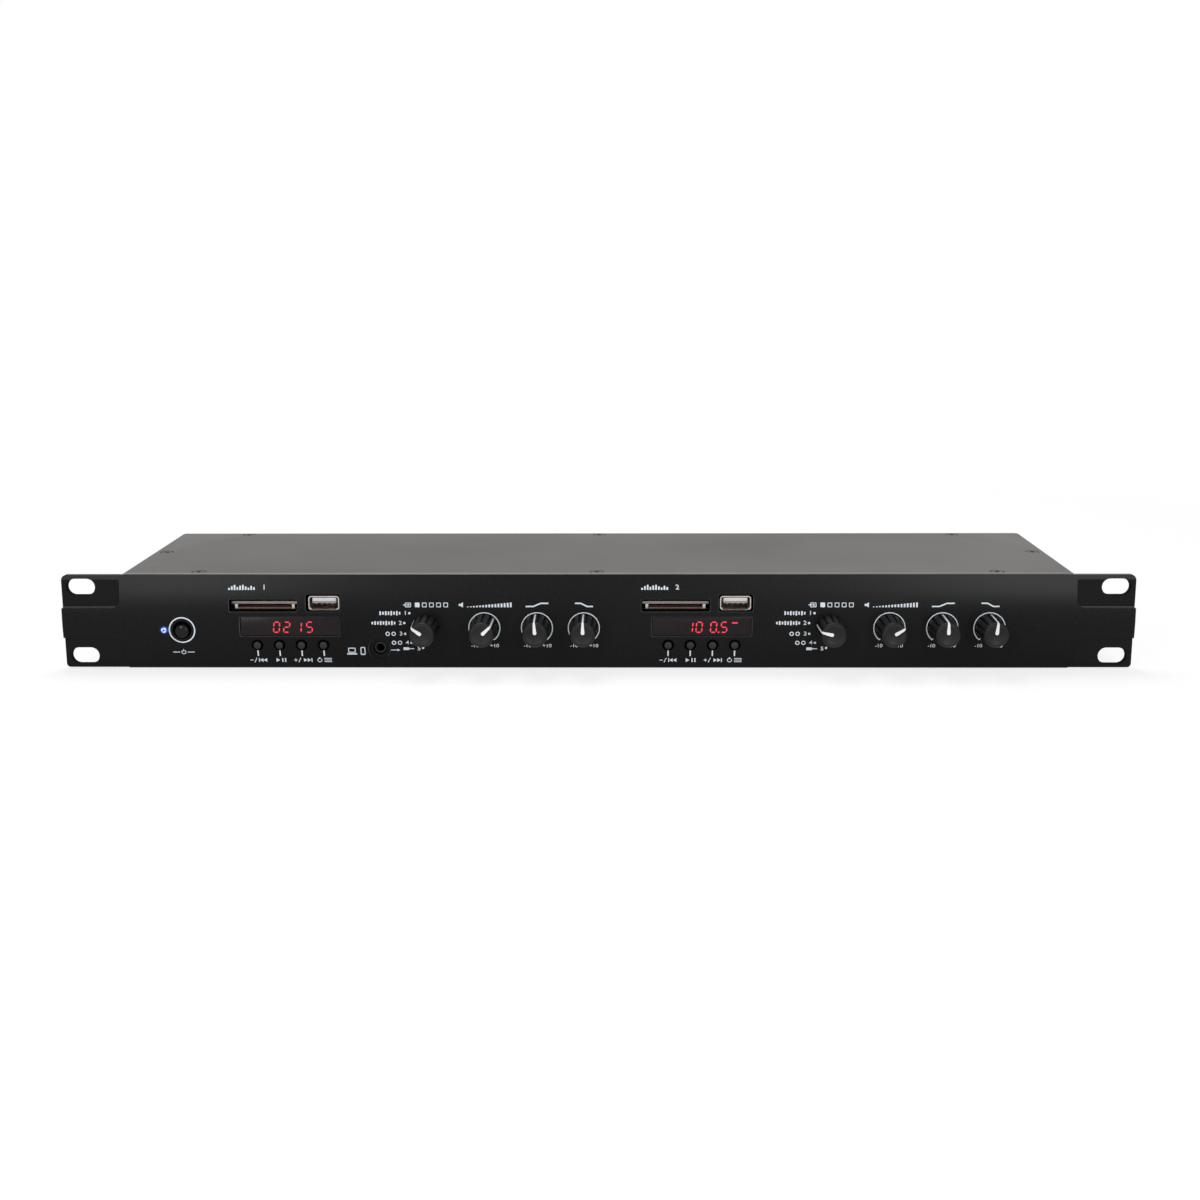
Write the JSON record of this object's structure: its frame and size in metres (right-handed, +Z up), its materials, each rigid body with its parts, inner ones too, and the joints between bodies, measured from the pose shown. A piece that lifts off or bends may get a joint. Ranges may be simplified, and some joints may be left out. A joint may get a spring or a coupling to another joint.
{
  "type": "rack mount media player",
  "caption": "Slim black media player for a 19 inch rack, with card and USB slots, small red displays, push buttons and fluted rotary knobs on a bowed front panel.",
  "frame": {"origin": "under the middle of the whole player, at the level of the panel's lower edge", "axes": "+X to the viewer's right along the front panel, +Y from the front into the rack, +Z up"},
  "size_m": [0.4826, 0.1374, 0.0435],
  "materials": {
    "black_anodised": "black satin coat",
    "grey_enamel": "fine matt enamel",
    "zinc_plated_steel": "zinc plated",
    "knob_black": "fine moulded grain",
    "shaft_metal": "turned",
    "button_black": "matt",
    "gloss_black": "polished",
    "moulded_black": "moulded",
    "lamp_blue": "clear blue lens",
    "nickel_plate": "nickel plated sheet",
    "insert_white": "moulded",
    "display_tint": "dark tinted window",
    "board_green": "solder mask",
    "board_brown": "bare laminate",
    "core_iron": "varnished laminations"
  },
  "bodies": {
    "player": {"front_panel": "black_anodised", "chassis_base": "grey_enamel", "top_cover": "grey_enamel", "sub_panel": "zinc_plated_steel", "rear_panel": "zinc_plated_steel", "source_switch_1": "zinc_plated_steel", "source_switch_2": "zinc_plated_steel", "volume_control_1": "zinc_plated_steel", "volume_control_2": "zinc_plated_steel", "treble_control_1": "zinc_plated_steel", "treble_control_2": "zinc_plated_steel", "bass_control_1": "zinc_plated_steel", "bass_control_2": "zinc_plated_steel", "power_switch": "moulded_black", "jack_socket": "moulded_black", "mains_inlet": "moulded_black", "line_sockets": "moulded_black", "power_lamp": "lamp_blue", "card_socket_1": "nickel_plate", "card_socket_2": "nickel_plate", "usb_shell_1": "nickel_plate", "usb_shell_2": "nickel_plate", "aerial_socket": "nickel_plate", "usb_insert_1": "insert_white", "usb_insert_2": "insert_white", "display_window_1": "display_tint", "display_window_2": "display_tint", "display_board_1": "board_green", "display_board_2": "board_green", "main_board": "board_green", "player_board_1": "board_brown", "player_board_2": "board_brown", "transformer": "core_iron"},
    "source_dial_1": {"source_knob_1": "knob_black", "source_shaft_1": "shaft_metal"},
    "source_dial_2": {"source_knob_2": "knob_black", "source_shaft_2": "shaft_metal"},
    "volume_dial_1": {"volume_knob_1": "knob_black", "volume_shaft_1": "shaft_metal"},
    "volume_dial_2": {"volume_knob_2": "knob_black", "volume_shaft_2": "shaft_metal"},
    "treble_dial_1": {"treble_knob_1": "knob_black", "treble_shaft_1": "shaft_metal"},
    "treble_dial_2": {"treble_knob_2": "knob_black", "treble_shaft_2": "shaft_metal"},
    "bass_dial_1": {"bass_knob_1": "knob_black", "bass_shaft_1": "shaft_metal"},
    "bass_dial_2": {"bass_knob_2": "knob_black", "bass_shaft_2": "shaft_metal"},
    "button_1_1": {"transport_button_1_1": "button_black"},
    "button_1_2": {"transport_button_1_2": "button_black"},
    "button_1_3": {"transport_button_1_3": "button_black"},
    "button_1_4": {"transport_button_1_4": "button_black"},
    "button_2_1": {"transport_button_2_1": "button_black"},
    "button_2_2": {"transport_button_2_2": "button_black"},
    "button_2_3": {"transport_button_2_3": "button_black"},
    "button_2_4": {"transport_button_2_4": "button_black"},
    "power_key": {"power_button": "gloss_black"}
  },
  "joints": [
    {"name": "source_turn_1", "type": "hinge", "parent": "player", "child": "source_dial_1", "pos_m": [-0.07708, -0.06027, 0.01945], "axis": [0, 1, 0], "range_deg": [-120, 0]},
    {"name": "source_turn_2", "type": "hinge", "parent": "player", "child": "source_dial_2", "pos_m": [0.1049, -0.06027, 0.01945], "axis": [0, 1, 0], "range_deg": [-90, 30]},
    {"name": "volume_turn_1", "type": "hinge", "parent": "player", "child": "volume_dial_1", "pos_m": [-0.05072, -0.06027, 0.01945], "axis": [0, 1, 0], "range_deg": [-188, 96]},
    {"name": "volume_turn_2", "type": "hinge", "parent": "player", "child": "volume_dial_2", "pos_m": [0.13131, -0.06027, 0.01945], "axis": [0, 1, 0], "range_deg": [-200, 84]},
    {"name": "treble_turn_1", "type": "hinge", "parent": "player", "child": "treble_dial_1", "pos_m": [-0.02701, -0.06027, 0.01945], "axis": [0, 1, 0], "range_deg": [-138, 146]},
    {"name": "treble_turn_2", "type": "hinge", "parent": "player", "child": "treble_dial_2", "pos_m": [0.15498, -0.06027, 0.01945], "axis": [0, 1, 0], "range_deg": [-142, 142]},
    {"name": "bass_turn_1", "type": "hinge", "parent": "player", "child": "bass_dial_1", "pos_m": [-0.00591, -0.06027, 0.01945], "axis": [0, 1, 0], "range_deg": [-142, 142]},
    {"name": "bass_turn_2", "type": "hinge", "parent": "player", "child": "bass_dial_2", "pos_m": [0.17608, -0.06027, 0.01945], "axis": [0, 1, 0], "range_deg": [-148, 136]},
    {"name": "button_press_1_1", "type": "slide", "parent": "player", "child": "button_1_1", "axis": [0, 1, 0], "range_m": [0, 0.0005], "stiffness_N_per_m": 600, "springref_m": -0.001},
    {"name": "button_press_1_2", "type": "slide", "parent": "player", "child": "button_1_2", "axis": [0, 1, 0], "range_m": [0, 0.0005], "stiffness_N_per_m": 600, "springref_m": -0.001},
    {"name": "button_press_1_3", "type": "slide", "parent": "player", "child": "button_1_3", "axis": [0, 1, 0], "range_m": [0, 0.0005], "stiffness_N_per_m": 600, "springref_m": -0.001},
    {"name": "button_press_1_4", "type": "slide", "parent": "player", "child": "button_1_4", "axis": [0, 1, 0], "range_m": [0, 0.0005], "stiffness_N_per_m": 600, "springref_m": -0.001},
    {"name": "button_press_2_1", "type": "slide", "parent": "player", "child": "button_2_1", "axis": [0, 1, 0], "range_m": [0, 0.0005], "stiffness_N_per_m": 600, "springref_m": -0.001},
    {"name": "button_press_2_2", "type": "slide", "parent": "player", "child": "button_2_2", "axis": [0, 1, 0], "range_m": [0, 0.0005], "stiffness_N_per_m": 600, "springref_m": -0.001},
    {"name": "button_press_2_3", "type": "slide", "parent": "player", "child": "button_2_3", "axis": [0, 1, 0], "range_m": [0, 0.0005], "stiffness_N_per_m": 600, "springref_m": -0.001},
    {"name": "button_press_2_4", "type": "slide", "parent": "player", "child": "button_2_4", "axis": [0, 1, 0], "range_m": [0, 0.0005], "stiffness_N_per_m": 600, "springref_m": -0.001},
    {"name": "power_press", "type": "slide", "parent": "player", "child": "power_key", "axis": [0, 1, 0], "range_m": [0, 0.002]}
  ]
}
